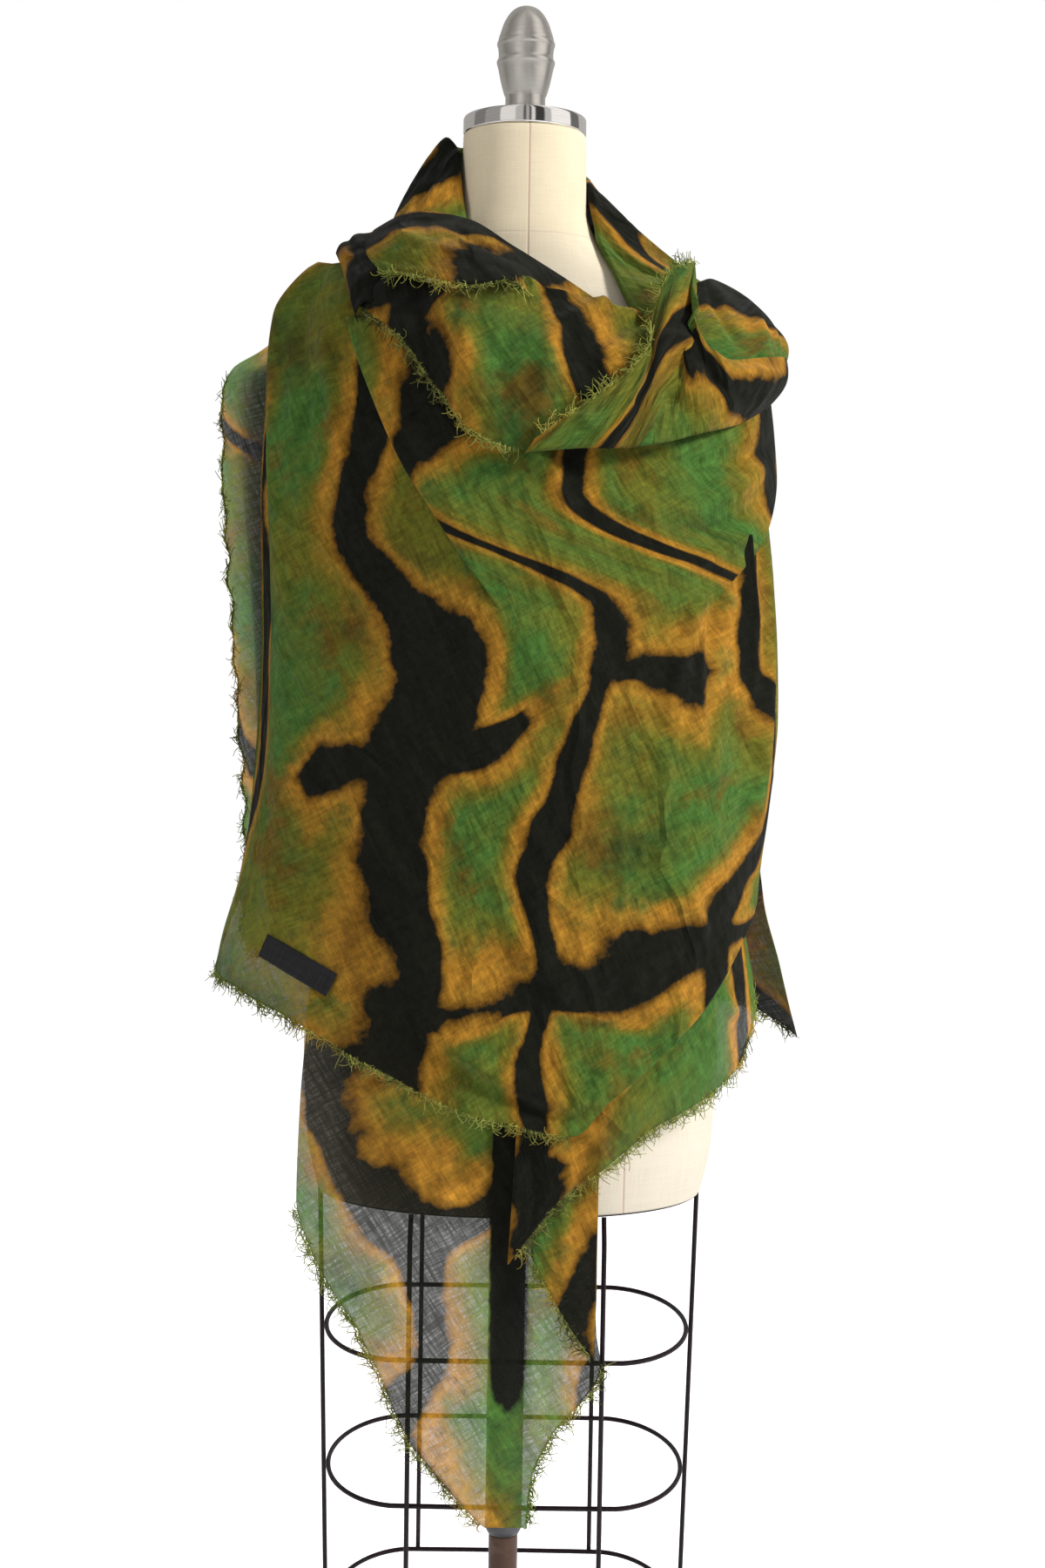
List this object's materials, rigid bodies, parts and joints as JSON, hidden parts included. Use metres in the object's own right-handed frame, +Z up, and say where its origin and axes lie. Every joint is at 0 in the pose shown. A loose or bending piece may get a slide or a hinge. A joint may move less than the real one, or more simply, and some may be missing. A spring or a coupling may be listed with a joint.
{
  "type": "shawl on a dress form",
  "caption": "Loosely woven linen shawl with frayed edges, wound round the neck and shoulders of a dress form on a wire cage, pole and round base.",
  "frame": {"origin": "on the floor, at the centre of the base's underside", "axes": "+Z up along the pole, front of the form towards -Y, the form's left side in the picture towards -X"},
  "size_m": [0.4911, 0.4, 1.6319],
  "materials": {
    "linen_gauze": "loosely woven, matt, hand dyed in green, olive, ochre and black",
    "label_cloth": "plain black woven tape",
    "form_linen": "fine cream linen, matt",
    "cap_metal": "bright",
    "finial_metal": "brushed",
    "wire": "dark brown, satin",
    "sleeve": "dark grey, satin",
    "pole_paint": "dark brown, satin",
    "base_iron": "black, satin"
  },
  "bodies": {
    "root": {"back_drape": "linen_gauze", "front_panel": "linen_gauze", "chest_drape": "linen_gauze", "shoulder_fold": "linen_gauze", "collar": "linen_gauze", "cowl_inner": "linen_gauze", "cowl_front": "linen_gauze", "roll_front": "linen_gauze", "roll_back": "linen_gauze", "under_fold": "linen_gauze", "tail": "linen_gauze", "tail_fold": "linen_gauze", "label": "label_cloth", "fringe_back_edge": "linen_gauze", "fringe_back_hem": "linen_gauze", "fringe_hem": "linen_gauze", "fringe_cowl": "linen_gauze", "fringe_inner": "linen_gauze", "fringe_flap": "linen_gauze", "fringe_under": "linen_gauze", "fringe_tail_left": "linen_gauze", "fringe_tail_right": "linen_gauze", "fringe_tail_fold": "linen_gauze", "torso": "form_linen", "neck_cap": "cap_metal", "finial": "finial_metal", "ring_1": "wire", "ring_2": "wire", "ring_3": "wire", "wire_left": "wire", "wire_right": "wire", "wire_front_left": "wire", "wire_front_right": "wire", "wire_back_left": "wire", "wire_back_right": "wire", "pole_sleeve": "sleeve", "pole": "pole_paint", "base": "base_iron"}
  },
  "joints": []
}
